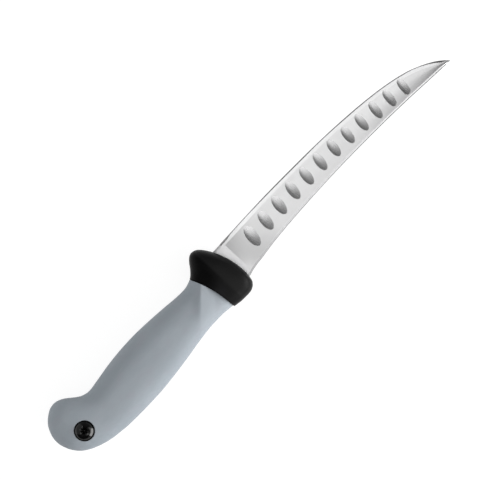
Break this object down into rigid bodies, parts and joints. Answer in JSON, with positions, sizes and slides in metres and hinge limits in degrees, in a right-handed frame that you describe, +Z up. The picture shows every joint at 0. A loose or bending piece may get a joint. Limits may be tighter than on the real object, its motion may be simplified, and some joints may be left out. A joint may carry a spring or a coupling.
{
  "type": "fillet knife",
  "caption": "Fixed-blade fillet knife with an upswept hollow-ground-dimpled blade, black finger guard, soft hooked handle and a pommel screw.",
  "frame": {"origin": "under the middle of the knife as it lies on its side, on the surface that it lies on", "axes": "+X along the knife to the tip, +Y towards the cutting edge, +Z up through the thickness"},
  "size_m": [0.2818, 0.0369, 0.024],
  "materials": {
    "blade_steel": "satin ground flats, brighter bevels",
    "guard_plastic": "fine matte black moulding",
    "grip_rubber": "soft matte grey-blue elastomer",
    "core_plastic": "black moulding, hidden",
    "screw_steel": "glossy black oxide",
    "pin_steel": "ground, hidden"
  },
  "bodies": {
    "root": {"blade": "blade_steel", "guard": "guard_plastic", "grip": "grip_rubber", "core_left": "core_plastic", "core_right": "core_plastic", "clamp_screw": "screw_steel", "barrel_nut": "screw_steel", "tang_pins": "pin_steel"}
  },
  "joints": []
}
